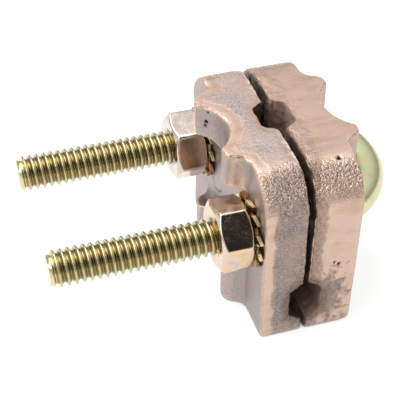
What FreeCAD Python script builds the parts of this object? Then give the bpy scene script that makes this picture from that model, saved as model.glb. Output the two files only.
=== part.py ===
import FreeCAD, Part

import math
import os

from FreeCAD import Vector

# Ground rod clamp: two cast jaws on a U-bolt, held by two nuts with toothed lock washers.
# Millimetres. X runs along the legs and points out of the bend, Y goes from leg to leg, Z is up.
# The origin is on the resting plane, below the axis of the bend.

# Clearances
washer_slip = 0.1
thread_slip = 0.05
seat_gap = 0.05
bolt_room = 0.375
bend_room = 0.3

# U-bolt
largest_rod = 19.05
rod_room = 0.4
leg_diameter = 6.35
thread_pitch = 1.27
leg_reach = 46.7
leg_spacing = largest_rod + rod_room + leg_diameter
leg_radius = leg_diameter / 2
leg_y = leg_spacing / 2

# Jaws
jaw_height = 32.8
jaw_width = 38.8
leg_height = 19.8
rod_jaw_thickness = 8.5
nut_jaw_thickness = 7.6
jaw_gap = 0.8
drawn_in = 4.75
top_corner_radius = 7.0
foot_corner_radius = 0.8
parting_chamfer = 0.5
rim_chamfer = 0.3
hole_radius = leg_radius + bolt_room

# Rod saddle between two ribs on the outer face
saddle_radius = 8.0
rib_height = 3.2
crest_width = 0.9
rib_foot_inset = 0.8
crest_round = 0.6

# The ribs stop short of the nuts and the bend
relief_below_leg = 9.5
relief_above_leg = 6.5
relief_round = 1.5

# Cable grooves in the mating faces, one upright and one across
groove_mouth = 8.4
groove_floor = 5.0
groove_depth = 2.4
cross_groove_height = 6.8

# Nuts
nut_across_flats = 11.11
nut_height = 5.56
nut_chamfer_angle = 30.0
front_nut_turn = 47.0
back_nut_turn = 10.5

# Toothed lock washers
washer_diameter = 12.9
washer_root_diameter = 10.0
washer_stock = 0.6
washer_height = 1.1
tooth_count = 12
tooth_width = 1.9
front_washer_turn = 8.0
back_washer_turn = 21.0

# Places along X
rod_jaw_outer_x = drawn_in
rod_jaw_mating_x = rod_jaw_outer_x - rod_jaw_thickness
nut_jaw_mating_x = rod_jaw_mating_x - jaw_gap
nut_jaw_outer_x = nut_jaw_mating_x - nut_jaw_thickness
washer_x = nut_jaw_outer_x - seat_gap - washer_height / 2
nut_x = washer_x - washer_height / 2 - seat_gap - nut_height

along = Vector(1, 0, 0)
across = Vector(0, 1, 0)
up = Vector(0, 0, 1)


def line(start, end):
    return Part.makeLine(start, end)


def arc(start, middle, end):
    return Part.Arc(start, middle, end).toShape()


def prism(edges, direction):
    """Close the edges to a face and push it along a vector."""
    return Part.Face(Part.Wire(edges)).extrude(direction)


def polygon_prism(points, direction):
    return Part.Face(Part.makePolygon(points + points[:1])).extrude(direction)


def make_u_bolt():
    """Two straight legs and a half ring, with the leg ends chamfered to the thread's depth."""
    thread_depth = 0.61 * thread_pitch
    bolt = Part.makeTorus(leg_y, leg_radius, Vector(0, 0, leg_height), up, -180, 180, 180)
    bolt.rotate(Vector(0, 0, leg_height), up, -90)
    for side in (-1, 1):
        start = Vector(-leg_reach, side * leg_y, leg_height)
        leg = Part.makeCylinder(leg_radius, leg_reach, start, along)
        tip = [edge for edge in leg.Edges if edge.BoundBox.XMax < -leg_reach + 0.01]
        bolt = bolt.fuse(leg.makeChamfer(thread_depth, tip))
    return bolt.removeSplitter()


def jaw_blank(thickness):
    """Plate with rounded top corners, mating face on x = 0 with its edges chamfered."""
    half = jaw_width / 2
    top = jaw_height
    r = top_corner_radius
    f = foot_corner_radius
    c = 1 - math.sqrt(0.5)

    def at(y, z):
        return Vector(0, y, z)

    outline = [
        line(at(f - half, 0), at(half - f, 0)),
        arc(at(half - f, 0), at(half - c * f, c * f), at(half, f)),
        line(at(half, f), at(half, top - r)),
        arc(at(half, top - r), at(half - c * r, top - c * r), at(half - r, top)),
        line(at(half - r, top), at(r - half, top)),
        arc(at(r - half, top), at(c * r - half, top - c * r), at(-half, top - r)),
        line(at(-half, top - r), at(-half, f)),
        arc(at(-half, f), at(c * f - half, c * f), at(f - half, 0)),
    ]
    plate = prism(outline, along * thickness)
    mating_edges = [edge for edge in plate.Edges if edge.BoundBox.XMax < 0.01]
    return plate.makeChamfer(parting_chamfer, mating_edges)


def rib_band(thickness):
    """Both ribs and the rod saddle between them, over the whole height of the jaw."""
    root = thickness - rib_height
    crest = thickness + rib_height
    saddle_half = math.sqrt(saddle_radius ** 2 - (saddle_radius - rib_height) ** 2)
    crest_end = saddle_half + crest_width
    # The ribs' feet end just short of the round top corners.
    foot = jaw_width / 2 - top_corner_radius - rib_foot_inset
    flank_run = foot - crest_end
    bend = (flank_run ** 2 + rib_height ** 2) / (4 * rib_height)
    turn = 2 * math.atan(rib_height / flank_run)
    bow_y = bend * math.sin(turn / 2)
    bow_x = bend * (1 - math.cos(turn / 2))
    middle_y = crest_end + flank_run / 2
    middle_x = thickness + rib_height / 2

    def flank(side):
        foot_point = Vector(thickness, side * foot, 0)
        low_bow = Vector(thickness + bow_x, side * (foot - bow_y), 0)
        middle = Vector(middle_x, side * middle_y, 0)
        high_bow = Vector(crest - bow_x, side * (crest_end + bow_y), 0)
        crest_point = Vector(crest, side * crest_end, 0)
        return [arc(foot_point, low_bow, middle), arc(middle, high_bow, crest_point)]

    outline = [
        line(Vector(root, -foot, 0), Vector(thickness, -foot, 0)),
        *flank(-1),
        line(Vector(crest, -crest_end, 0), Vector(crest, -saddle_half, 0)),
        arc(Vector(crest, -saddle_half, 0), Vector(thickness, 0, 0), Vector(crest, saddle_half, 0)),
        line(Vector(crest, saddle_half, 0), Vector(crest, crest_end, 0)),
        *reversed(flank(1)),
        line(Vector(thickness, foot, 0), Vector(root, foot, 0)),
        line(Vector(root, foot, 0), Vector(root, -foot, 0)),
    ]
    band = prism(Part.__sortEdges__(outline), up * jaw_height)
    corners = [
        edge for edge in band.Edges
        if edge.BoundBox.ZLength > jaw_height / 2
        and abs(edge.BoundBox.XMax - crest) < 0.01
        and abs(abs(edge.CenterOfMass.y) - saddle_half) < 0.01
    ]
    return band.makeFillet(crest_round, corners)


def rib_relief(thickness):
    """The space beyond the seat plane that the nuts, the washers and the bend need."""
    low = leg_height - relief_below_leg
    high = leg_height + relief_above_leg
    r = relief_round
    c = 1 - math.sqrt(0.5)
    outer = thickness + 2 * rib_height

    def at(x, z):
        return Vector(x, -jaw_width, z)

    outline = [
        line(at(outer, low), at(thickness + r, low)),
        arc(at(thickness + r, low), at(thickness + c * r, low + c * r), at(thickness, low + r)),
        line(at(thickness, low + r), at(thickness, high - r)),
        arc(at(thickness, high - r), at(thickness + c * r, high - c * r), at(thickness + r, high)),
        line(at(thickness + r, high), at(outer, high)),
        line(at(outer, high), at(outer, low)),
    ]
    return prism(outline, across * 2 * jaw_width)


def groove(middle, width_way, run):
    """Trapezium groove in the mating face: middle of its mouth, way across it, way along it."""
    mouth = width_way * (groove_mouth / 2)
    floor = width_way * (groove_floor / 2)
    deep = along * groove_depth
    # The flanks go on past the mating face at their own slope, so the cut is clean there.
    rise = along * groove_depth
    spread = width_way * ((groove_mouth - groove_floor) / 2)
    section = [
        middle - mouth - spread - rise,
        middle - floor + deep,
        middle + floor + deep,
        middle + mouth + spread - rise,
    ]
    return polygon_prism([point - run * 0.5 for point in section], run)


def break_rims(jaw, thickness):
    """Break the sharp edge of the outer face along the top and the foot."""
    rims = []
    for edge in jaw.Edges:
        box = edge.BoundBox
        flat = box.ZLength < 0.01 and (box.ZMin < 0.01 or box.ZMax > jaw_height - 0.01)
        if flat and box.XMin > thickness - 0.01:
            rims.append(edge)
    return jaw.makeChamfer(rim_chamfer, rims)


def make_jaw(thickness):
    """One jaw with its mating face on x = 0 and its outer face on the plus side."""
    upright = groove(Vector(0, 0, jaw_height / 2), across, up * 2 * jaw_height)
    crosswise = groove(Vector(0, 0, cross_groove_height), up, across * 2 * jaw_width)
    jaw = jaw_blank(thickness).fuse(rib_band(thickness)).removeSplitter()
    jaw = break_rims(jaw, thickness)
    jaw = jaw.cut(rib_relief(thickness))
    jaw = jaw.cut(upright)
    jaw = jaw.cut(crosswise)
    for side in (-1, 1):
        start = Vector(-thickness, side * leg_y, leg_height)
        jaw = jaw.cut(Part.makeCylinder(hole_radius, 3 * thickness, start, along))
    return jaw


def make_rod_side_jaw():
    """The jaw next to the bend: its holes splay inwards to let the bend's curve in."""
    jaw = make_jaw(rod_jaw_thickness)
    splay_radius = leg_radius + bend_room
    bend_inside = math.sqrt((leg_y - leg_radius) ** 2 - drawn_in ** 2)
    shift = leg_y - splay_radius - (bend_inside - bend_room)
    splay = math.degrees(math.atan(shift / rod_jaw_thickness))
    for side in (-1, 1):
        pivot = Vector(0, side * leg_y, leg_height)
        room = Part.makeCylinder(splay_radius, 2 * rod_jaw_thickness, pivot, along)
        room.rotate(pivot, up, -side * splay)
        jaw = jaw.cut(room)
    jaw.translate(along * rod_jaw_mating_x)
    return jaw


def make_nut_side_jaw():
    jaw = make_jaw(nut_jaw_thickness).mirror(Vector(0, 0, 0), along)
    jaw.translate(along * nut_jaw_mating_x)
    return jaw


def make_nut(side, turn):
    """Hexagon nut chamfered at both ends, bore countersunk at both ends."""
    corner = nut_across_flats / 2 / math.cos(math.radians(30))
    slope = math.tan(math.radians(nut_chamfer_angle))
    crown = 0.95 * nut_across_flats / 2
    drop = (corner - crown) * slope
    bore = leg_radius + thread_slip
    sink = 0.6 * thread_pitch
    axis_point = Vector(nut_x, side * leg_y, leg_height)
    points = []
    for step in range(6):
        angle = math.radians(turn + 60 * step)
        points.append(axis_point + Vector(0, corner * math.cos(angle), corner * math.sin(angle)))
    hexagon = polygon_prism(points, along * nut_height)
    half_section = [
        Vector(0, bore + sink, 0),
        Vector(0, crown, 0),
        Vector(drop, corner, 0),
        Vector(nut_height - drop, corner, 0),
        Vector(nut_height, crown, 0),
        Vector(nut_height, bore + sink, 0),
        Vector(nut_height - sink, bore, 0),
        Vector(sink, bore, 0),
    ]
    ring = Part.Face(Part.makePolygon(half_section + half_section[:1]))
    ring = ring.revolve(Vector(0, 0, 0), along, 360)
    ring.translate(axis_point)
    return hexagon.common(ring)


def make_lock_washer(side, turn):
    """External tooth washer: a flat ring with teeth, each twisted about its own radius."""
    bore = leg_radius + washer_slip
    root = washer_root_diameter / 2
    tip = washer_diameter / 2
    overlap = 0.4
    # The twist lifts a tooth's corners to the height of the washer.
    diagonal = math.hypot(tooth_width, washer_stock)
    twist = math.degrees(math.asin(washer_height / diagonal) - math.atan(washer_stock / tooth_width))
    ring = Part.makeCylinder(root, washer_stock, Vector(-washer_stock / 2, 0, 0), along)
    ring = ring.cut(Part.makeCylinder(bore, washer_stock, Vector(-washer_stock / 2, 0, 0), along))
    corner = Vector(-washer_stock / 2, root - overlap, -tooth_width / 2)
    tooth = Part.makeBox(washer_stock, tip - root + overlap, tooth_width, corner)
    tooth.rotate(Vector(0, 0, 0), across, twist)
    rim = Part.makeCylinder(tip, 2 * washer_height, Vector(-washer_height, 0, 0), along)
    teeth = []
    for step in range(tooth_count):
        copy = tooth.copy()
        copy.rotate(Vector(0, 0, 0), along, turn + 360 / tooth_count * step)
        teeth.append(copy.common(rim))
    washer = ring.fuse(teeth).removeSplitter()
    washer.translate(Vector(washer_x, side * leg_y, leg_height))
    return washer


def single_solid(shape):
    if len(shape.Solids) != 1 or not shape.isValid():
        raise ValueError("expected one valid solid")
    return shape.Solids[0]


nodes = {
    "u_bolt": make_u_bolt(),
    "rod_side_jaw": make_rod_side_jaw(),
    "nut_side_jaw": make_nut_side_jaw(),
    "front_lock_washer": make_lock_washer(-1, front_washer_turn),
    "back_lock_washer": make_lock_washer(1, back_washer_turn),
    "front_hex_nut": make_nut(-1, front_nut_turn),
    "back_hex_nut": make_nut(1, back_nut_turn),
}

os.makedirs("parts", exist_ok=True)
for name, shape in nodes.items():
    single_solid(shape).exportStep(os.path.join("parts", name + ".step"))
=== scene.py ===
import math
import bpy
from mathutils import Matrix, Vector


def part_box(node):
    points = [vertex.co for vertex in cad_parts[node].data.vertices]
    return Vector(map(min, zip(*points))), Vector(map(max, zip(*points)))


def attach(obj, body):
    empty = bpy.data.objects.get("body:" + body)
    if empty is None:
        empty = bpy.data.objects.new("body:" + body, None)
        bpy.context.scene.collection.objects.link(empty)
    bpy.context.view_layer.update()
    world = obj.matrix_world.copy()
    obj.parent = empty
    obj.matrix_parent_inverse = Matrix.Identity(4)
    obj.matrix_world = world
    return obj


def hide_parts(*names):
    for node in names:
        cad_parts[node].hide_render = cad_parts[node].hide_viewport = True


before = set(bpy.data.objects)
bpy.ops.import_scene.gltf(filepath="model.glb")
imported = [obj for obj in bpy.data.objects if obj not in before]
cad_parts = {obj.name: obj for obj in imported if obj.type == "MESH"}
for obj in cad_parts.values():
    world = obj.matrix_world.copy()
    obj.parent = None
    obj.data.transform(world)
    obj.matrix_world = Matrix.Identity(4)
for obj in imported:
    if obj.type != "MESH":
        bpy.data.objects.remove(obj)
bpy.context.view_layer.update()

from types import SimpleNamespace

import bpy
import numpy as np
from bpy.props import FloatProperty, FloatVectorProperty, IntProperty, PointerProperty
from mathutils import Matrix, Vector, noise
from mathutils.kdtree import KDTree

bl_info = {
    "name": "Ground Rod Clamp",
    "version": (1, 0, 0),
    "blender": (4, 5, 0),
    "location": "3D View > Sidebar > Clamp",
    "description": "Dresses a ground rod clamp: cast jaws, threaded U-bolt, nuts, lock washers",
    "category": "Object",
}

# The frame is that of the solids, in metres: X along the legs and out of the bend, Y from leg to
# leg, Z up. What is in millimetres says so.
MM = 0.001

# Places and sizes on the jaws in millimetres. Both cable grooves have the same section.
groove_depth = 2.4
groove_half_width = 4.2
cross_groove_height = 6.8
parting_chamfer = 0.5
rod_plate_x = 4.75
nut_plate_x = -12.15
front_end_y = -18.0

# Gas holes, each a place and a radius in millimetres.
rod_side_pits = (
    ((1.75, -14.2, 32.5), 0.34),
    ((0.68, -19.4, 14.5), 0.2),
    ((1.46, -19.4, 13.9), 0.26),
)
nut_side_pits = (
    ((-13.8, 4.8, 31.9), 0.2),
    ((-14.0, 5.1, 29.8), 0.3),
    ((-14.1, 5.25, 28.9), 0.24),
)
# A lap is a thin crease in the skin. This one lies between the legs, its bends given in Y and Z.
skin_lap = ((8.1, 14.9), (6.9, 13.5), (4.5, 14.1), (2.8, 15.7), (2.9, 17.1))
lap_width = 0.2
# The patch of the rod side jaw's front end that the belt missed: middle and half size in X and Z.
skipped_middle = (0.6, 6.0)
skipped_half = (3.0, 6.5)

# The bolt's own sizes in metres, read from its solid: round stock bent in the plane of both legs.
bolt_low, bolt_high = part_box("u_bolt")
leg_radius = (bolt_high.z - bolt_low.z) / 2
leg_height = (bolt_high.z + bolt_low.z) / 2
leg_offset = (bolt_high.y - bolt_low.y) / 2 - leg_radius
leg_tip_x = bolt_low.x

# Softboxes: place and size in metres, power in watts. The camera's aim is in millimetres.
softboxes = (
    ("softbox_overhead", (-0.14, 0.13, 0.42), 0.43, 1.95),
    ("softbox_left", (-0.42, -0.05, 0.25), 0.26, 0.55),
)
camera_aim = Vector((-16.92, 0.62, 16.53))


# Settings


def linear(hex_colour):
    """An sRGB hex colour as linear RGB with alpha."""
    parts = [int(hex_colour[i:i + 2], 16) / 255 for i in (1, 3, 5)]
    return [p / 12.92 if p <= 0.04045 else ((p + 0.055) / 1.055) ** 2.4 for p in parts] + [1.0]


def length(name, description, default_mm):
    return FloatProperty(
        name=name, description=description, default=default_mm * MM,
        subtype="DISTANCE", unit="LENGTH", precision=6,
    )


def angle(name, description, degrees):
    return FloatProperty(
        name=name, description=description, default=math.radians(degrees),
        subtype="ANGLE", unit="ROTATION",
    )


def colour(name, description, hex_colour):
    return FloatVectorProperty(
        name=name, description=description, default=linear(hex_colour),
        subtype="COLOR", size=4, min=0.0, max=1.0,
    )


class ClampFastenerSizes(bpy.types.PropertyGroup):
    """Sizes of the thread, the nuts and the toothed washers."""
    thread_pitch: length("Thread pitch", "Distance from crest to crest", 1.27)
    thread_depth: length("Thread depth", "From crest to root", 0.72)
    threaded_length: length("Threaded length", "From the tip of a leg to the run-out", 37.0)
    thread_steps: IntProperty(name="Steps per pitch", description="Rings for each turn", default=14)
    across_flats: length("Across flats", "Width of the hexagon over two flats", 11.11)
    nut_edge: length("Nut edge", "How softly the nut's edges are rounded", 0.28)
    nut_clearance: length("Nut clearance", "Room between the two threads", 0.04)
    washer_root: length("Washer body", "Diameter at the foot of the teeth", 10.0)
    washer_stock: length("Washer stock", "Thickness of the strip", 0.6)
    tooth_width: length("Tooth width", "Width of one tooth", 1.9)
    tooth_count: IntProperty(name="Teeth", description="Teeth round the washer", default=12)


class ClampCastingSizes(bpy.types.PropertyGroup):
    """How finely and how roughly the castings are modelled."""
    skin_grain: length("Mesh grain", "Size of one face of the casting's mesh", 0.25)
    edge_passes: IntProperty(name="Edge passes", description="Smoothing of cast edges", default=2)
    waviness: length("Waviness", "Depth of the slow hollows of a sand-cast face", 0.05)
    parting_wobble: length("Parting wobble", "Depth of the ragged edge at the parting", 0.22)
    top_corner: length("Top corner radius", "Rounding of the jaws' top corners", 7.0)
    foot_radius: length("Foot radius", "Rounding of the rod side jaw's outer foot edge", 1.8)
    mould_shift: length("Mould shift", "How far the outer half of the mould had slipped", 0.3)
    pit_depth: length("Pit depth", "Depth of the gas holes in the casting", 0.5)
    rod_jaw_lean: angle("Rod side lean", "How far the jaw leans back under the bolt's pull", 1.0)
    nut_jaw_band: length("Nut side ground band", "Width ground bright from the outer edge", 2.0)
    rod_jaw_band: length("Rod side ground band", "Width ground bright from the outer edge", 6.6)


class ClampColours(bpy.types.PropertyGroup):
    """Colours of the castings and of the zinc."""
    cast_light: colour("Cast skin, light", "As-cast bronze, where the sand left it pale", "#c4b7b3")
    # Partly painted shade: the outer faces and saddle have a smoother skin, and this colour also
    # paints them darker than the tops.
    cast_cool_and_shade: colour("Cast skin, outer", "Smoother skin of the outer faces and saddle", "#afa3a2")
    cast_dark: colour("Cast skin, dark", "As-cast bronze in the hollows of the grain", "#877870")
    ground: colour("Ground bronze", "Bronze fresh from the belt", "#d4b5a1")
    ground_deep: colour("Ground bronze, deep", "Low places that the belt just reached", "#b5937f")
    # Partly a painted highlight: the material lays this colour along convex edges.
    edge: colour("Worn edge", "Bronze along rubbed edges", "#e3c6ae")
    # Also painted shade: this black darkens the gap by the parting, inner corners, gas holes, the
    # lap and the grooves.
    grime_and_shade: colour("Grime", "Foundry black in gaps, pits and charred grooves", "#2c2422")
    baked_sand: colour("Baked sand", "Brown crust in the grooves and by the parting", "#a08474")
    zinc_gold: colour("Zinc, gold", "Yellow passivate, its middle tone", "#d8d0a2")
    zinc_green: colour("Zinc, green", "Yellow passivate where it is thin", "#ccd2a4")
    zinc_pink: colour("Zinc, pink", "Yellow passivate where it is thick", "#d9b6a2")
    thread_root: colour("Thread root", "Passivate that pooled in the root of the thread", "#8f7b55")
    nut_peach: colour("Nut, peach", "Passivate on the front nut", "#e4c69c")
    nut_silver: colour("Nut, silver", "Passivate on the back nut", "#c8bdb6")
    nut_blush: colour("Nut, blush", "Pink cast on both nuts", "#e0cabb")
    washer_brown: colour("Washer, brown", "Passivate on spring steel", "#a9794e")


class ClampStageSettings(bpy.types.PropertyGroup):
    """Where the camera stands and how bright the studio is."""
    azimuth: angle("Azimuth", "Round from the front", -17.44)
    elevation: angle("Elevation", "Above the horizon", 39.46)
    roll: angle("Roll", "About the line of sight", 0.27)
    distance: length("Distance", "From the aim point", 205.9)
    lens: FloatProperty(
        name="Lens", description="Focal length on a 36 mm sensor", default=105.3,
        subtype="DISTANCE_CAMERA", unit="CAMERA",
    )
    overhead: FloatProperty(
        name="Overhead", description="Brightness of the studio overhead", default=1.25,
    )
    horizon: FloatProperty(
        name="Horizon", description="Brightness of the studio at the horizon", default=0.58,
    )
    dark_azimuth: angle("Dark card azimuth", "Round from the front", 18.7)
    dark_elevation: angle("Dark card elevation", "Above the horizon", 43.6)
    dark_share: FloatProperty(
        name="Dark card", description="Share of the light that it leaves", default=0.03,
        subtype="FACTOR", min=0.0, max=1.0,
    )


def sizes():
    return bpy.context.scene.clamp_fasteners


def castings():
    return bpy.context.scene.clamp_castings


def colours():
    return bpy.context.scene.clamp_colours


def studio():
    return bpy.context.scene.clamp_stage


# Meshes


def link_object(name, mesh, material):
    """Put a mesh into the scene as a smooth shaded object."""
    mesh.shade_smooth()
    mesh.materials.clear()
    mesh.materials.append(material)
    made = bpy.data.objects.new(name, mesh)
    bpy.context.scene.collection.objects.link(made)
    return made


def new_object(name, points, faces, material, sharp_degrees=None):
    """An object from points in metres, creased where its faces meet at more than an angle."""
    mesh = bpy.data.meshes.new(name)
    mesh.from_pydata(points.tolist(), [], faces)
    mesh.validate()
    made = link_object(name, mesh, material)
    if sharp_degrees:
        mesh.set_sharp_from_angle(angle=math.radians(sharp_degrees))
    return made


def layer(mesh, name, values):
    """Keep one number for each vertex for the material to read."""
    made = mesh.attributes.new(name, "FLOAT", "POINT")
    made.data.foreach_set("value", np.asarray(values, np.float32))


def grid_faces(rows, columns, rows_closed):
    """Quads of a grid whose columns always close and whose rows close on request."""
    faces = []
    for i in range(rows if rows_closed else rows - 1):
        a = i * columns
        b = (i + 1) % rows * columns
        for j in range(columns):
            k = (j + 1) % columns
            faces.append((a + j, a + k, b + k, b + j))
    return faces


def outward(obj):
    """Point every face outwards."""
    bpy.context.view_layer.objects.active = obj
    for other in bpy.context.selected_objects:
        other.select_set(False)
    obj.select_set(True)
    bpy.ops.object.mode_set(mode="EDIT")
    bpy.ops.mesh.select_all(action="SELECT")
    bpy.ops.mesh.normals_make_consistent(inside=False)
    bpy.ops.object.mode_set(mode="OBJECT")
    obj.select_set(False)


def once_round(steps):
    """The angles of evenly spaced points round a circle."""
    return np.arange(steps) / steps * math.tau


def ring(x, centre_y, radius, turn):
    """Points round a line along X at the legs' height."""
    x = np.broadcast_to(x, turn.shape)
    return np.stack([x, centre_y + radius * np.cos(turn), leg_height + radius * np.sin(turn)], 1)


def eased(share):
    """A share from 0 to 1 that starts and ends gently."""
    return share * share * (3 - 2 * share)


def soft_min(a, b, rounding):
    """The smaller of two radii, with the corner between them rounded."""
    mix = np.clip(0.5 + 0.5 * (b - a) / rounding, 0, 1)
    return b * (1 - mix) + a * mix - rounding * mix * (1 - mix)


# Bolt, nuts and washers


def thread_radius(x, turn):
    """Radius of the right-hand thread at a place along its leg and an angle round it."""
    size = sizes()
    crest_flat, root_flat, flank_round = 0.12, 0.10, 0.45
    phase = x / size.thread_pitch - turn / math.tau
    climb = np.abs(2 * (phase - np.floor(phase)) - 1)
    height = np.clip((climb - root_flat) / (1 - root_flat - crest_flat), 0, 1)
    height = height * (1 - flank_round) + eased(height) * flank_round
    return leg_radius - size.thread_depth * (1 - height)


def leg_surface(x, turn):
    """Radius of a leg: chamfered tip, thread, run-out, plain shank."""
    size = sizes()
    runout_turns, tip_slope, tip_edge = 1.5, 0.9, 0.08 * MM
    from_tip = x - leg_tip_x
    cut = (size.threaded_length - from_tip) / (runout_turns * size.thread_pitch)
    radius = leg_radius - (leg_radius - thread_radius(x, turn)) * np.clip(cut, 0, 1)
    chamfer = leg_radius - size.thread_depth + tip_slope * from_tip
    return soft_min(radius, chamfer, tip_edge)


def build_u_bolt(material):
    """One bar: front leg, half ring, back leg, as a grid of rings with closed ends."""
    size = sizes()
    around, bend_steps = 56, 72
    turn = once_round(around)
    thread_end = leg_tip_x + size.threaded_length
    pitch = size.thread_pitch
    fine = np.arange(leg_tip_x, thread_end + pitch, pitch / size.thread_steps)
    leg = np.concatenate([fine, np.linspace(fine[-1], 0, 6)[1:]])
    # The front leg is the back one seen in a mirror, but its thread is right-handed too.
    mirrored = math.pi - turn
    rings = [ring(x, -leg_offset, leg_surface(x, mirrored), mirrored) for x in leg]
    reach = leg_offset + leg_radius * np.cos(turn)
    height = leg_height + leg_radius * np.sin(turn)
    for bend in np.linspace(0, math.pi, bend_steps + 1)[1:-1]:
        rings.append(np.stack([reach * math.sin(bend), -reach * math.cos(bend), height], 1))
    rings += [ring(x, leg_offset, leg_surface(x, turn), turn) for x in leg[::-1]]

    faces = grid_faces(len(rings), around, False)
    points = np.concatenate(rings)
    last = (len(rings) - 1) * around
    # Each tip closes with a narrow flat ring and a fan.
    for start, side in ((0, -1), (last, 1)):
        hub = np.array([[leg_tip_x, side * leg_offset, leg_height]])
        inner = hub + (points[start:start + around] - hub) * 0.9
        base = len(points)
        points = np.concatenate([points, inner, hub])
        for j in range(around):
            k = (j + 1) % around
            faces.append((start + j, start + k, base + k, base + j))
            faces.append((base + j, base + k, base + around))
    made = new_object("threaded_u_bolt", points, faces, material, 62)

    # The passivate dries thickest in the thread: a little on the crests, most at the roots.
    from_axis = np.hypot(np.abs(points[:, 1]) - leg_offset, points[:, 2] - leg_height)
    threaded = (points[:, 0] > leg_tip_x + MM) & (points[:, 0] < thread_end)
    depth = np.clip((leg_radius - from_axis) / size.thread_depth, 0, 1)
    layer(made.data, "thread_root", threaded * (0.3 + 0.6 * depth ** 1.5))
    return made


def build_nut(name, node, first_corner, material):
    """Hexagon nut, chamfered and rounded, with a real thread and countersinks in its bore."""
    size = sizes()
    low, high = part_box(node)
    centre_y = (low.y + high.y) / 2
    tall = high.x - low.x
    half_flats = size.across_flats / 2
    around = 216
    turn = once_round(around)
    off_flat = np.radians((np.degrees(turn) - first_corner) % 60 - 30)
    blunted = half_flats / math.cos(math.radians(30)) - 0.02 * MM
    hexagon = soft_min(half_flats / np.cos(off_flat), blunted, size.nut_edge)

    # Rings stand closest at both ends, where the corners' 30 degree chamfer curves. Their
    # distances from the end are in hundredths of a millimetre.
    near_end = np.array([0, 4, 8, 13, 19, 26, 34, 43, 53, 64, 77, 92, 110, 140]) * 0.01 * MM
    past_chamfer = 1.8 * MM
    middle = np.linspace(past_chamfer, tall - past_chamfer, 5)
    end_radius = 0.95 * half_flats
    rings = []
    for depth in np.concatenate([near_end, middle, tall - near_end[::-1]]):
        cone = end_radius + min(depth, tall - depth) * math.tan(math.radians(60))
        rings.append((depth, soft_min(hexagon, cone, size.nut_edge)))

    # Then the end face, the bore with its thread and countersinks, and the other end face.
    mouth = leg_radius + 0.32 * MM
    end_face = np.linspace(rings[-1][1].min() - 0.1 * MM, mouth, 5)
    rings += [(tall, radius) for radius in end_face]
    bore_steps = int(tall / size.thread_pitch * size.thread_steps)
    narrowest = leg_radius - 0.8 * size.thread_depth
    for depth in np.linspace(tall, 0, bore_steps)[1:-1]:
        cut = thread_radius(low.x + depth, turn) + size.nut_clearance
        countersink = mouth - min(depth, tall - depth)
        rings.append((depth, np.maximum(cut, max(countersink, narrowest))))
    rings += [(0, radius) for radius in end_face[::-1]]

    placed = [ring(low.x + depth, centre_y, radius, turn) for depth, radius in rings]
    faces = grid_faces(len(rings), around, True)
    made = new_object(name, np.concatenate(placed), faces, material, 50)
    outward(made)
    return made


def build_lock_washer(name, node, first_tooth, material):
    """Toothed washer stamped from strip, every tooth twisted about its own radius."""
    size = sizes()
    low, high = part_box(node)
    centre = (low + high) / 2
    tip = (high.z - low.z) / 2
    root = size.washer_root / 2
    bore = leg_radius + 0.1 * MM
    half_stock = size.washer_stock / 2
    bevel = 0.07 * MM
    # The twist sets in this far inside the foot of the teeth and takes this long to be whole.
    twist_lead, twist_run = 0.35 * MM, 0.9 * MM

    around = 480
    turn = once_round(around)
    step = math.tau / size.tooth_count
    off_tooth = (turn - math.radians(first_tooth) + step / 2) % step - step / 2
    tooth_half = size.tooth_width / 2 / ((root + tip) / 2)
    flank = 0.14 * MM / root
    is_tooth = eased(np.clip((tooth_half - np.abs(off_tooth)) / flank + 0.5, 0, 1))
    outline = root + (tip - root) * is_tooth

    # The twist makes the washer as tall as its solid: a tilted tooth stands on one corner.
    diagonal = math.hypot(size.tooth_width, size.washer_stock)
    tilt = math.asin((high.x - low.x) / diagonal) - math.atan(size.washer_stock / size.tooth_width)

    def strip(share, inset, lift):
        """A ring of the strip at a share of the way from the bore to the outline."""
        radius = bore + inset + (outline - bore - 2 * inset) * share
        twist = np.clip((radius - root + twist_lead) / twist_run, 0, 1)
        rise = math.tan(tilt) * radius * np.sin(off_tooth) * twist * is_tooth
        return ring(centre.x + lift + rise, centre.y, radius, turn)

    shares = [0, 0.2, 0.45, 0.55, 0.65, 0.75, 0.85, 0.93, 1]
    rings = [strip(share, bevel, half_stock) for share in shares]
    rings += [strip(1, 0, half_stock - bevel), strip(1, 0, bevel - half_stock)]
    rings += [strip(share, bevel, -half_stock) for share in reversed(shares)]
    rings += [strip(0, 0, bevel - half_stock), strip(0, 0, half_stock - bevel)]
    faces = grid_faces(len(rings), around, True)
    made = new_object(name, np.concatenate(rings), faces, material, 40)
    outward(made)
    return made


# Jaws, in millimetres until they are done


def voxel_skin(node):
    """An even, fine mesh over a node's solid."""
    source = bpy.data.objects.new("blank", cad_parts[node].data.copy())
    source.data.transform(Matrix.Scale(1 / MM, 4))
    bpy.context.scene.collection.objects.link(source)
    skin = source.modifiers.new("skin", "REMESH")
    skin.mode = "VOXEL"
    skin.voxel_size = castings().skin_grain / MM
    shown = source.evaluated_get(bpy.context.evaluated_depsgraph_get())
    mesh = bpy.data.meshes.new_from_object(shown)
    bpy.data.objects.remove(source)
    return mesh


def read_rows(items, name, columns, kind=float):
    """One field of many mesh items as an array with a row for each."""
    values = np.zeros(len(items) * columns, kind)
    items.foreach_get(name, values)
    return values.reshape(-1, columns)


def smooth(points, edges, passes):
    """Move each point half-way to the mean of its neighbours, several times."""
    count = len(points)
    valence = np.bincount(edges.ravel(), minlength=count)
    for _ in range(passes):
        total = np.zeros_like(points)
        for axis in range(3):
            total[:, axis] = np.bincount(edges[:, 0], points[edges[:, 1], axis], count)
            total[:, axis] += np.bincount(edges[:, 1], points[edges[:, 0], axis], count)
        points = points + 0.5 * (total / valence[:, None] - points)
    return points


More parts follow.
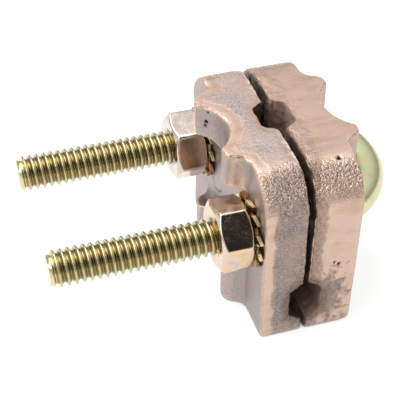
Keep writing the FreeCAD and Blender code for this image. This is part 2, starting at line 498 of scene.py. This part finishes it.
def distance_to(points, chosen):
    """Distance of each point to the nearest chosen one."""
    tree = KDTree(int(chosen.sum()))
    for i, place in enumerate(points[chosen]):
        tree.insert(place, i)
    tree.balance()
    return np.array([tree.find(place)[2] for place in points])


def noise_at(points, scale, offset):
    """Soft noise between -1 and 1 at each point."""
    return np.array([noise.noise(Vector(p) * scale + Vector(offset)) for p in points])


def sharpen_parting(points, normals, inward):
    """Fill most of the solid's parting chamfer, because the real edge is sharper."""
    fill = 0.7 * parting_chamfer / math.sqrt(2)
    across = np.abs(2 * inward / parting_chamfer - 1)
    slant = np.abs(normals[:, 0])
    on_chamfer = (across < 1) & (slant > 0.3) & (slant < 0.95)
    return points + normals * (fill * (1 - across) * on_chamfer)[:, None]


def inside_outline(points, low, high):
    """How deep each point lies in the jaw's outline with its round top corners, seen along X."""
    radius = castings().top_corner / MM
    past_y = np.abs(points[:, 1]) - ((high.y - low.y) / 2 - radius)
    past_z = points[:, 2] - (high.z - radius)
    past_corner = np.hypot(np.maximum(past_y, 0), np.maximum(past_z, 0))
    return radius - np.maximum(past_corner, np.maximum(past_y, past_z))


def jaw_marks(points, normals, inward, facing, low, high):
    """What the jaw's material needs to know of each point: distances, and which way it looks."""
    # Faces are told apart by how far their normals lean: 1 looks straight along the axis.
    away = normals[:, 0] * facing
    outer_face = away > 0.75
    mating_face = (np.abs(inward) < 0.12) & (away < -0.7)
    in_depth = (inward > 0.15) & (inward < groove_depth + 0.2)
    reach = groove_half_width + 0.1
    upright = (np.abs(points[:, 1]) < reach) & (np.abs(normals[:, 2]) < 0.6)
    cross = (np.abs(points[:, 2] - cross_groove_height) < reach) & (np.abs(normals[:, 1]) < 0.6)
    on_rim = np.clip(1.5 - inside_outline(points, low, high), 0, 1)
    both_ways = np.minimum(np.abs(normals[:, 1]), normals[:, 2])
    return {
        "rim_mm": distance_to(points, outer_face),
        "parting_mm": distance_to(points, mating_face),
        "groove_mm": distance_to(points, in_depth & (upright | cross)),
        "side": np.clip((0.55 - np.abs(normals[:, 0])) / 0.2, 0, 1) * on_rim,
        "corner": np.clip((both_ways - 0.05) / 0.5, 0, 1),
        "flat_top": np.clip((normals[:, 2] - 0.9) / 0.08, 0, 1),
    }


def gas_holes(points, holes):
    """How deep each point lies in a gas hole, 0 to 1."""
    depth = np.zeros(len(points))
    for place, radius in holes:
        hole = np.clip(1.25 - np.linalg.norm(points - place, axis=1) / radius, 0, 1)
        depth = np.maximum(depth, np.minimum(hole * 1.6, 1))
    return depth


def lap_crease(points, ragged):
    """How deep each point lies in the lap, which is faint and broken."""
    depth = np.zeros(len(points))
    flat = points[:, 1:]
    for start, end in zip(skin_lap, skin_lap[1:]):
        start, run = np.array(start), np.array(end) - np.array(start)
        along = np.clip((flat - start) @ run / (run @ run), 0, 1)
        off = np.linalg.norm(flat - start - along[:, None] * run, axis=1)
        depth = np.maximum(depth, np.clip(1.4 - off / lap_width, 0, 1))
    return depth * np.clip(0.3 + 0.8 * ragged, 0.08, 0.4)


def skipped_patch(points, ragged):
    """Where the belt missed the rod side jaw's front end, 0 to 1, with a ragged edge."""
    off = (points[:, (0, 2)] - skipped_middle) / skipped_half
    near = 1.3 - np.hypot(off[:, 0], off[:, 1]) + 0.9 * ragged
    return np.clip(near * 1.1, 0, 1) * (points[:, 1] < front_end_y)


def fit_rod_side(points):
    """Round the outer foot edge, lean the jaw and slip the outer half of its mould."""
    cast = castings()
    radius = cast.foot_radius / MM
    away_x = points[:, 0] - (rod_plate_x - radius)
    away_z = radius - points[:, 2]
    reach = np.hypot(away_x, away_z)
    square = (np.minimum(away_x, away_z) > 0) & (reach > radius)
    square &= points[:, 0] < rod_plate_x + 0.1
    pull = radius / reach[square]
    points[square, 0] = rod_plate_x - radius + away_x[square] * pull
    points[square, 2] = radius - away_z[square] * pull
    points[:, 0] += (points[:, 2] - leg_height / MM) * math.tan(cast.rod_jaw_lean)
    past_plate = np.clip((points[:, 0] - rod_plate_x + 0.6) / 0.6, 0, 1)
    points[:, 0] += 0.5 * cast.mould_shift / MM * past_plate


def fit_nut_side(points):
    """Slip the outer half of the mould: the ribs' upper ends stand out, most at the back."""
    start_z, full_z, splay = 20, 28, 0.02
    climb = np.clip((points[:, 2] - start_z) / (full_z - start_z), 0, 1)
    past_plate = np.clip((nut_plate_x + 0.45 - points[:, 0]) / 0.6, 0, 1)
    shift = 1.4 * castings().mould_shift / MM + splay * points[:, 1]
    points[:, 0] -= shift * climb * past_plate


def build_jaw(name, node, facing, material):
    """A sand-cast jaw: the solid's shape with worn edges, slow hollows and a ragged parting.

    facing is +1 where the outer face looks along +X and -1 where it looks along -X.
    """
    cast = castings()
    mesh = voxel_skin(node)
    mesh.name = name
    points = read_rows(mesh.vertices, "co", 3)
    edges = read_rows(mesh.edges, "vertices", 2, int)
    low, high = (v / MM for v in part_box(node))
    mating_x = low.x if facing > 0 else high.x

    normals = read_rows(mesh.vertex_normals, "vector", 3)
    points = sharpen_parting(points, normals, (points[:, 0] - mating_x) * facing)
    points = smooth(points, edges, cast.edge_passes)
    mesh.vertices.foreach_set("co", points.ravel())
    mesh.update()
    normals = read_rows(mesh.vertex_normals, "vector", 3)

    # Edges stand above a heavily smoothed copy of the jaw, and inner corners lie below it.
    heavy_passes, full_wear = 14, 0.12
    ridge = ((points - smooth(points, edges, heavy_passes)) * normals).sum(1) / full_wear
    marks = jaw_marks(points, normals, (points[:, 0] - mating_x) * facing, facing, low, high)
    # The material paints convex edges bright, as worn metal and painted highlight, and inner
    # corners dark, as painted shade.
    marks["wear"] = np.clip(ridge, 0, 1)
    marks["hollow"] = np.clip(-ridge, 0, 1)

    ragged = noise_at(points, 0.9, (7.1, 0, 3 * facing))
    slow = noise_at(points, 0.22, (0, 5.3 * facing, 0))
    if facing > 0:
        marks["pit"] = gas_holes(points, rod_side_pits)
        marks["skin_patch"] = skipped_patch(points, ragged)
    else:
        on_seat = (normals[:, 0] < -0.9) & (points[:, 0] < mating_x - 1)
        crease = lap_crease(points, ragged) * on_seat
        marks["pit"] = np.maximum(gas_holes(points, nut_side_pits), crease)
        marks["skin_patch"] = np.zeros(len(points))

    # The skin sinks along the parting, in slow hollows and in holes, but hardly on the foot.
    edge_reach, foot_top = 1.6, 0.5
    near_edge = np.clip(1 - np.minimum(marks["parting_mm"], marks["groove_mm"]) / edge_reach, 0, 1)
    drop = cast.parting_wobble / MM * near_edge * np.clip(0.35 + ragged, 0, 1)
    drop += cast.waviness / MM * np.clip(0.5 + slow, 0, 1)
    drop[points[:, 2] < foot_top] *= 0.2
    drop += cast.pit_depth / MM * marks["pit"]
    points = points - normals * drop[:, None]
    if facing > 0:
        fit_rod_side(points)
    else:
        fit_nut_side(points)

    mesh.vertices.foreach_set("co", (points * MM).ravel())
    for mark, values in marks.items():
        layer(mesh, mark, values)
    return link_object(name, mesh, material)


# Materials


def add(tree, kind, inputs=None, **settings):
    """Add a node with its settings; inputs are values, or the sockets that feed them."""
    made = tree.nodes.new(kind)
    for name, value in settings.items():
        setattr(made, name, value)
    for name, value in (inputs or {}).items():
        if isinstance(value, bpy.types.NodeSocket):
            tree.links.new(value, made.inputs[name])
        else:
            made.inputs[name].default_value = value
    return made


def calc(tree, operation, *values, clamp=False):
    """The result of one sum."""
    inputs = dict(enumerate(values))
    return add(tree, "ShaderNodeMath", inputs, operation=operation, use_clamp=clamp).outputs[0]


def ramp(tree, value, start, end, low=0.0, high=1.0, easing="LINEAR"):
    """The range from start to end drawn out to low and high, and held there beyond them."""
    return add(tree, "ShaderNodeMapRange", {
        "Value": value, "From Min": start, "From Max": end, "To Min": low, "To Max": high,
    }, interpolation_type=easing).outputs[0]


def blend(tree, share, under, over):
    """Two colours mixed by the share of the second."""
    # The Mix node takes its colours at inputs 6 and 7, and its numbers at 2 and 3.
    return add(tree, "ShaderNodeMix", {0: share, 6: under, 7: over}, data_type="RGBA").outputs[2]


def between(tree, share, first, second):
    """Two numbers mixed by the share of the second."""
    inputs = {0: share, 2: first, 3: second}
    return add(tree, "ShaderNodeMix", inputs, data_type="FLOAT").outputs[0]


def reading(tree, name):
    """A number that the mesh keeps for each vertex."""
    return add(tree, "ShaderNodeAttribute", attribute_name=name).outputs["Fac"]


def millimetres(tree):
    """The object's own coordinates in millimetres, so that scales count what fits into one."""
    inputs = {0: add(tree, "ShaderNodeTexCoord").outputs["Object"], "Scale": 1 / MM}
    return add(tree, "ShaderNodeVectorMath", inputs, operation="SCALE").outputs[0]


def stretched(tree, place, scales):
    """Coordinates scaled by a factor of its own for each axis."""
    return add(tree, "ShaderNodeVectorMath", {0: place, 1: scales}, operation="MULTIPLY").outputs[0]


def cloud(tree, place, scale, detail, roughness=0.5, distortion=0.0):
    """Soft noise around 0.5."""
    return add(tree, "ShaderNodeTexNoise", {
        "Vector": place, "Scale": scale, "Detail": detail,
        "Roughness": roughness, "Distortion": distortion,
    }).outputs[0]


def pebbles(tree, place, scale):
    """Cells of random size, as round grains lie packed."""
    return add(tree, "ShaderNodeTexVoronoi", {"Vector": place, "Scale": scale, "Randomness": 1.0})


def new_material(name):
    made = bpy.data.materials.new(name)
    made.use_nodes = True
    made.node_tree.nodes.clear()
    return made, made.node_tree


def finish_metal(tree, body, metallic, rough, strength, depth, height):
    """End a material in a metal with a bumpy skin."""
    bump = add(tree, "ShaderNodeBump", {"Strength": strength, "Distance": depth, "Height": height})
    metal = add(tree, "ShaderNodeBsdfPrincipled", {
        "Base Color": body, "Metallic": metallic, "Roughness": rough, "Normal": bump.outputs[0],
    })
    add(tree, "ShaderNodeOutputMaterial", {"Surface": metal.outputs[0]})


def casting_patterns(tree):
    """The marks on a jaw's mesh and the patterns of its skin, which the functions below call p."""
    mm = millimetres(tree)
    p = SimpleNamespace(**{name: reading(tree, name) for name in (
        "rim_mm", "parting_mm", "groove_mm", "side", "corner",
        "flat_top", "pit", "skin_patch", "wear", "hollow",
    )})
    # The belt's reach wanders over some 3 mm and the skin's tone over 6 mm. It crumbles at 0.8 mm.
    p.wander = cloud(tree, mm, 0.35, 7.0, 0.72)
    p.mottle = cloud(tree, mm, 0.16, 4.0, 0.6)
    p.crumb = cloud(tree, mm, 1.2, 4.0, 0.65)
    # Sand grain in millimetres, drawn a little coarser than the real 0.2 so that it shows.
    grain = 0.3125
    p.grain = cloud(tree, mm, 1 / grain, 3.0, 0.65)
    grains = pebbles(tree, mm, 1.125 / grain)
    p.grain_hollow = grains.outputs["Distance"]
    p.grain_tone = add(tree, "ShaderNodeSeparateColor", {0: grains.outputs["Color"]}).outputs[0]
    # Where the sand broke up, the skin holds coarse lumps of about 0.5 mm.
    p.boulder_hollow = pebbles(tree, mm, 1.9).outputs["Distance"]
    # Belt scratches run along X. The belt left the casting's low places duller, in wider streaks.
    scratch_length, scratch_gap, streak_width = 6.25, 0.125, 2.5
    fine = stretched(tree, mm, (1 / scratch_length, 1 / scratch_gap, 1 / scratch_gap))
    broad = stretched(tree, mm, (1 / scratch_length, 1 / streak_width, 1 / streak_width))
    p.scratch = cloud(tree, fine, 1.0, 2.0)
    low_place = cloud(tree, broad, 1.0, 6.0, 0.72)
    p.dull = ramp(tree, low_place, 0.47, 0.68, 0.0, 0.6)
    # The patch that the belt skipped has crumbling edges. Round corners are coarse in places.
    crumbled = calc(tree, "MULTIPLY_ADD", p.crumb, 2.4, p.skin_patch)
    p.patch = ramp(tree, crumbled, 1.6, 2.25, 0.0, 0.9)
    p.rough_corner = calc(tree, "MULTIPLY", p.corner, ramp(tree, p.crumb, 0.36, 0.58, 0.3))
    return p


def belt_ground(tree, p, band):
    """Share of the surface that the belt ground bright: a wandering band along the outer face."""
    reach = calc(tree, "MULTIPLY_ADD", p.wander, 3.6, p.rim_mm)
    belt = ramp(tree, reach, band / MM + 1.5, band / MM + 2.1, 1.0, 0.0)
    missed = calc(tree, "MAXIMUM", calc(tree, "MULTIPLY", p.corner, 0.85), p.patch)
    reached = calc(tree, "MULTIPLY", p.side, calc(tree, "SUBTRACT", 1.0, missed))
    return calc(tree, "MULTIPLY", belt, reached)


def sand_crust(tree, p, warmth):
    """Share of baked sand next to the parting, where the belt only just reached the skin."""
    narrow = ramp(tree, p.flat_top, 0.0, 1.0, 1.0, 0.45)
    from_edge = calc(tree, "MULTIPLY", p.parting_mm, narrow)
    from_edge = calc(tree, "MULTIPLY_ADD", p.crumb, 3.0, from_edge)
    return calc(tree, "MULTIPLY", ramp(tree, from_edge, 1.5, 3.3, warmth * 1.8, 0.0), p.side)


def skin_height_and_shade(tree, p):
    """How high each grain of the cast skin stands, 0 to 1: every grain has its own tone, and
    painted shade lowers it off the flat tops.
    """
    quiet = calc(tree, "MULTIPLY", p.flat_top, 0.6)
    tone = between(tree, quiet, p.grain_tone, 0.5)
    height = calc(tree, "MULTIPLY_ADD", tone, 0.45, ramp(tree, p.grain, 0.35, 0.62, 0.0, 0.7))
    # Painted shade: the ends of the jaws are darker than their flat tops.
    shade = ramp(tree, p.flat_top, 0.0, 1.0, -0.22, 0.0)
    return calc(tree, "MULTIPLY_ADD", shade, p.side, height, clamp=True)


def cast_colour(tree, p, skin, warmth):
    """As-cast bronze: dark in the hollows of the grain and in painted shade off the flat tops,
    cooler and painted darker as shade on the outer faces and saddle, warmer in patches.
    """
    paint = colours()
    cast = blend(tree, skin, paint.cast_dark, paint.cast_light)
    # Off the rim, the outer faces and saddle take the cooler skin, which is partly painted shade.
    cast = blend(tree, ramp(tree, p.side, 0.0, 1.0, 0.65, 0.0), cast, paint.cast_cool_and_shade)
    warm = calc(tree, "MULTIPLY", ramp(tree, p.mottle, 0.4, 0.65, 0.0, 0.5), p.side)
    warm = calc(tree, "MULTIPLY_ADD", p.corner, 0.14, warm)
    warm = calc(tree, "ADD", warm, warmth)
    warm = calc(tree, "SUBTRACT", warm, calc(tree, "MULTIPLY", p.patch, 0.7), clamp=True)
    cast = blend(tree, warm, cast, paint.ground)
    specks = ramp(tree, p.grain_tone, 0.2, 0.9, 0.88, 0.0)
    cast = blend(tree, calc(tree, "MULTIPLY", specks, p.rough_corner), cast, paint.cast_dark)
    return blend(tree, calc(tree, "MULTIPLY", p.patch, 0.55), cast, paint.cast_dark)


def ground_colour(tree, p):
    """Bronze fresh from the belt, with pale scratches and dull low places."""
    paint = colours()
    streak = ramp(tree, p.scratch, 0.3, 0.7, 0.0, 0.35)
    bright = blend(tree, streak, paint.ground, paint.cast_light)
    return blend(tree, p.dull, bright, paint.ground_deep)


def grime_and_shade_share(tree, p, groove_grime_and_shade):
    """Share of foundry black and of painted shade: along the parting, in inner corners, gas holes
    and grooves.
    """
    black = ramp(tree, p.parting_mm, 0.0, 0.15, 0.35, 0.0)
    for share in (
        calc(tree, "MULTIPLY", p.hollow, 0.35),
        calc(tree, "MULTIPLY", p.pit, 1.8, clamp=True),
        ramp(tree, p.groove_mm, 0.05, 0.45, groove_grime_and_shade, 0.0),
    ):
        black = calc(tree, "MAXIMUM", black, share)
    return black


def casting_relief(tree, p, belt, crust):
    """Height of the skin: lumps of sand grain, and fine scratches where the belt went."""
    lumps = calc(tree, "SUBTRACT", p.grain, p.grain_hollow)
    lumps = calc(tree, "MULTIPLY_ADD", p.crumb, 2.6, lumps)
    boulders = calc(tree, "MULTIPLY", p.rough_corner, p.boulder_hollow)
    lumps = calc(tree, "MULTIPLY_ADD", boulders, -1.4, lumps)
    rough = calc(tree, "MULTIPLY_ADD", p.grain, 0.3, calc(tree, "MULTIPLY", lumps, p.side))
    fine = calc(tree, "MULTIPLY", p.scratch, 0.12)
    fine = calc(tree, "MULTIPLY_ADD", calc(tree, "MULTIPLY", p.dull, p.grain), 0.5, fine)
    relief = calc(tree, "MULTIPLY_ADD", crust, lumps, between(tree, belt, rough, fine))
    # Flat tops are the smoothest and round corners the roughest.
    lift = calc(tree, "MULTIPLY_ADD", p.flat_top, -1.25, 1.5)
    lift = calc(tree, "MULTIPLY_ADD", p.rough_corner, 1.5, lift)
    return calc(tree, "MULTIPLY", relief, lift)


def sand_cast_bronze(name, band, warmth, groove_grime_and_shade):
    """Bronze cast in sand, its outer edges ground on a belt.

    To the eye: a granular grey-pink skin that sparkles, next to smooth tan bands with fine
    scratches along the belt's way, bright worn edges with a painted highlight, dull baked sand in
    the grooves, and black of foundry dirt and painted shade in gaps, corners, holes and grooves.
    warmth is how tan the skin is, and the last argument how black the grooves are from foundry dirt
    and painted shade, both from 0 to 1.
    """
    paint = colours()
    made, tree = new_material(name)
    p = casting_patterns(tree)
    belt = belt_ground(tree, p, band)
    crust = sand_crust(tree, p, warmth)
    # The skin's height also carries the painted shade off the flat tops.
    skin = skin_height_and_shade(tree, p)
    body = blend(tree, belt, cast_colour(tree, p, skin, warmth), ground_colour(tree, p))
    body = blend(tree, crust, body, paint.baked_sand)
    # Edges are worn bright on the tops of the grains, partly as a painted highlight, but not under
    # the crust.
    bare = calc(tree, "SUBTRACT", 1.0, crust, clamp=True)
    rubbed_and_highlit = calc(tree, "MULTIPLY", calc(tree, "MULTIPLY", p.wear, skin), bare)
    body = blend(tree, rubbed_and_highlit, body, paint.edge)
    # Baked sand fills the grooves and spills over their mouths. It is hardly metallic.
    spill = calc(tree, "MULTIPLY_ADD", p.crumb, 4.0, p.groove_mm)
    sand = ramp(tree, spill, 2.6, 4.0, 0.95, 0.0)
    body = blend(tree, sand, body, paint.baked_sand)
    # Foundry dirt and painted shade: black by the parting, in inner corners, gas holes and grooves.
    body = blend(tree, grime_and_shade_share(tree, p, groove_grime_and_shade), body, paint.grime_and_shade)
    metallic = ramp(tree, sand, 0.0, 1.0, 1.0, 0.15)
    # The belt smooths the skin, and the coarse grains of the round corners glint.
    rough = ramp(tree, belt, 0.0, 1.0, 0.46, 0.36)
    rough = calc(tree, "MULTIPLY_ADD", p.rough_corner, -0.16, rough)
    relief = casting_relief(tree, p, belt, crust)
    finish_metal(tree, body, metallic, rough, 0.9, 0.11 * MM, relief)
    return made


def zinc_passivate(name, tones, roughness, scale):
    """Steel plated with zinc and passivated: a mirror under a thin tinted film.

    To the eye: a tint that drifts between three tones as the film's thickness changes, darker
    where it pooled in the thread, and smudged by handling. scale is in drifts per millimetre.
    """
    made, tree = new_material(name)
    mm = millimetres(tree)
    film = ramp(tree, cloud(tree, mm, scale, 1.5, distortion=0.6), 0.38, 0.6)
    thick = ramp(tree, cloud(tree, mm, scale * 2.3, 1.5), 0.52, 0.68, 0.0, 0.75)
    body = blend(tree, film, tones[0], tones[1])
    body = blend(tree, thick, body, tones[2])
    body = blend(tree, reading(tree, "thread_root"), body, colours().thread_root)
    # Smudges of about 2 mm make it duller, on specks of 0.2 mm.
    speck = cloud(tree, mm, 5.0, 3.0)
    smudge = calc(tree, "ADD", cloud(tree, mm, 0.5, 6.0, 0.7), speck)
    rough = ramp(tree, smudge, 0.95, 1.25, roughness, roughness + 0.16)
    finish_metal(tree, body, 1.0, rough, 0.25, 0.02 * MM, speck)
    return made


def white_card():
    """Paper that still shows the object's shadow.

    To the eye: pure white, with a soft dark rim where the object touches it, a painted contact
    shadow.
    """
    card_glow, card_grey = 0.8, "#929292"
    made, tree = new_material("white_card")
    path = add(tree, "ShaderNodeLightPath").outputs
    seen = calc(tree, "MAXIMUM", path["Is Camera Ray"], path["Is Glossy Ray"])
    seen = calc(tree, "MAXIMUM", seen, path["Is Transmission Ray"])
    # Painted contact shadow: the card's own glow goes out where ambient occlusion finds the object
    # covering it.
    open_sky = add(tree, "ShaderNodeAmbientOcclusion", {"Distance": 3 * MM}).outputs["AO"]
    glow = calc(tree, "MULTIPLY", seen, card_glow)
    glow = calc(tree, "MULTIPLY", glow, ramp(tree, open_sky, 0.08, 0.45))
    paper = add(tree, "ShaderNodeBsdfDiffuse", {"Color": linear(card_grey)})
    light = add(tree, "ShaderNodeEmission", {"Strength": glow})
    both = add(tree, "ShaderNodeAddShader", {0: paper.outputs[0], 1: light.outputs[0]})
    add(tree, "ShaderNodeOutputMaterial", {"Surface": both.outputs[0]})
    return made


# Stage


def direction(azimuth, elevation):
    """Unit vector from the object: azimuth from the front towards +X, elevation upwards."""
    flat = math.cos(elevation)
    return Vector((math.sin(azimuth) * flat, -math.cos(azimuth) * flat, math.sin(elevation)))


def facing_back(way):
    """The rotation of a camera or lamp that stands out along a way and looks back down it."""
    return (-way).to_track_quat("-Z", "Y")


def lay_floor():
    """A wide card a hair under the object."""
    reach, gap = 3.0, 0.05 * MM
    sides = ((-1, -1), (1, -1), (1, 1), (-1, 1))
    corners = np.array([(x * reach, y * reach, -gap) for x, y in sides])
    floor = new_object("studio_floor", corners, [(0, 1, 2, 3)], white_card())


def light_studio(scene):
    """A white room that darkens to the horizon, with a dark card and two softboxes."""
    view = studio()
    world = bpy.data.worlds.new("studio")
    scene.world = world
    world.use_nodes = True
    tree = world.node_tree
    tree.nodes.clear()
    look = add(tree, "ShaderNodeTexCoord").outputs["Generated"]
    height = add(tree, "ShaderNodeSeparateXYZ", {0: look}).outputs["Z"]
    sky = ramp(tree, height, 0.1, 0.75, view.horizon, view.overhead, "SMOOTHSTEP")
    # A dark card beside the camera, which the bright faces that look that way mirror. It fades
    # out between 20 and 30 degrees from its middle, whose cosines are 0.94 and 0.87.
    toward = direction(view.dark_azimuth, view.dark_elevation)
    nearness = add(tree, "ShaderNodeVectorMath", {0: look, 1: toward}, operation="DOT_PRODUCT")
    dark = ramp(tree, nearness.outputs["Value"], 0.87, 0.94, 1.0, view.dark_share, "SMOOTHSTEP")
    shade = add(tree, "ShaderNodeBackground", {"Strength": calc(tree, "MULTIPLY", sky, dark)})
    add(tree, "ShaderNodeOutputWorld", {"Surface": shade.outputs[0]})

    for name, place, size, watts in softboxes:
        lamp = bpy.data.lights.new(name, "AREA")
        lamp.size = size
        lamp.energy = watts
        box = bpy.data.objects.new(name, lamp)
        box.location = place
        box.rotation_euler = facing_back(Vector(place)).to_euler()
        scene.collection.objects.link(box)


def place_camera(scene):
    """The camera of the photo."""
    view = studio()
    lens = bpy.data.cameras.new("camera")
    lens.lens = view.lens
    lens.sensor_width = 36.0
    lens.clip_start = 0.01
    camera = bpy.data.objects.new("camera", lens)
    back = direction(view.azimuth, view.elevation)
    camera.matrix_world = (
        Matrix.Translation(camera_aim * MM + back * view.distance)
        @ facing_back(back).to_matrix().to_4x4()
        @ Matrix.Rotation(view.roll, 4, "Z")
    )
    scene.collection.objects.link(camera)
    scene.camera = camera


# Operators


class CLAMP_OT_u_bolt(bpy.types.Operator):
    """Bend the bolt and roll its two threads"""
    bl_idname = "clamp.u_bolt"
    bl_label = "U-bolt"

    def execute(self, context):
        c = colours()
        tones = (c.zinc_green, c.zinc_gold, c.zinc_pink)
        bolt = build_u_bolt(zinc_passivate("yellow_passivated_zinc", tones, 0.15, 0.35))
        outward(bolt)
        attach(bolt, "u_bolt")
        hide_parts("u_bolt")
        return {"FINISHED"}


class CLAMP_OT_jaws(bpy.types.Operator):
    """Cast both jaws and grind their outer edges"""
    bl_idname = "clamp.jaws"
    bl_label = "Cast jaws"

    def execute(self, context):
        c = castings()
        # Name, node, body, the outer face's way along X, ground band, warmth, groove black from
        # foundry dirt and painted shade.
        jaws = (
            ("cast_rod_side_jaw", "rod_side_jaw", "rod_jaw", 1, c.rod_jaw_band, 0.4, 0.0),
            ("cast_nut_side_jaw", "nut_side_jaw", "nut_jaw", -1, c.nut_jaw_band, 0.0, 0.8),
        )
        for name, node, body, facing, band, warmth, groove_grime_and_shade in jaws:
            bronze = sand_cast_bronze(name + "_bronze", band, warmth, groove_grime_and_shade)
            jaw = build_jaw(name, node, facing, bronze)
            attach(jaw, body)
            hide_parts(node)
        return {"FINISHED"}


class CLAMP_OT_nuts(bpy.types.Operator):
    """Make both hexagon nuts"""
    bl_idname = "clamp.nuts"
    bl_label = "Hexagon nuts"

    def execute(self, context):
        c = colours()
        nuts = (
            ("front_nut_threaded", "front_hex_nut", "front_nut", 47.0, "warm", c.nut_peach),
            ("back_nut_threaded", "back_hex_nut", "back_nut", 10.5, "pale", c.nut_silver),
        )
        for name, node, body, corner, film, tint in nuts:
            tones = (tint, c.nut_blush, c.nut_silver)
            zinc = zinc_passivate(film + "_passivated_zinc", tones, 0.12, 0.3)
            nut = build_nut(name, node, corner, zinc)
            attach(nut, body)
            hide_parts(node)
        return {"FINISHED"}


class CLAMP_OT_lock_washers(bpy.types.Operator):
    """Stamp and twist both toothed washers"""
    bl_idname = "clamp.lock_washers"
    bl_label = "Lock washers"

    def execute(self, context):
        c = colours()
        tones = (c.zinc_gold, c.washer_brown, c.zinc_pink)
        zinc = zinc_passivate("bronzed_passivated_zinc", tones, 0.25, 0.5)
        for name, node, body, tooth in (
            ("front_toothed_washer", "front_lock_washer", "front_washer", 8.0),
            ("back_toothed_washer", "back_lock_washer", "back_washer", 21.0),
        ):
            washer = build_lock_washer(name, node, tooth, zinc)
            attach(washer, body)
            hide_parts(node)
        return {"FINISHED"}


class CLAMP_OT_stage(bpy.types.Operator):
    """Lay the floor, light the studio and place the camera"""
    bl_idname = "clamp.stage"
    bl_label = "Stage"

    def execute(self, context):
        scene = context.scene
        scene.view_settings.view_transform = "Standard"
        lay_floor()
        light_studio(scene)
        place_camera(scene)
        return {"FINISHED"}


class CLAMP_PT_panel(bpy.types.Panel):
    """Lists the clamp's settings and the steps that build it"""
    bl_idname = "CLAMP_PT_panel"
    bl_label = "Ground Rod Clamp"
    bl_space_type = "VIEW_3D"
    bl_region_type = "UI"
    bl_category = "Clamp"

    def draw(self, context):
        layout = self.layout
        for step in steps:
            layout.operator(step.bl_idname)
        for group in (sizes(), castings(), colours(), studio()):
            box = layout.box()
            for name in group.__annotations__:
                box.prop(group, name)


steps = (CLAMP_OT_u_bolt, CLAMP_OT_jaws, CLAMP_OT_nuts, CLAMP_OT_lock_washers, CLAMP_OT_stage)
groups = {
    "clamp_fasteners": ClampFastenerSizes,
    "clamp_castings": ClampCastingSizes,
    "clamp_colours": ClampColours,
    "clamp_stage": ClampStageSettings,
}


def register():
    for kind in (*groups.values(), *steps, CLAMP_PT_panel):
        bpy.utils.register_class(kind)
    for name, group in groups.items():
        setattr(bpy.types.Scene, name, PointerProperty(type=group))


def unregister():
    for name in groups:
        delattr(bpy.types.Scene, name)
    for kind in reversed((*groups.values(), *steps, CLAMP_PT_panel)):
        bpy.utils.unregister_class(kind)


def main():
    register()
    for step in steps:
        space, action = step.bl_idname.split(".")
        getattr(getattr(bpy.ops, space), action)()


if __name__ == "__main__":
    main()
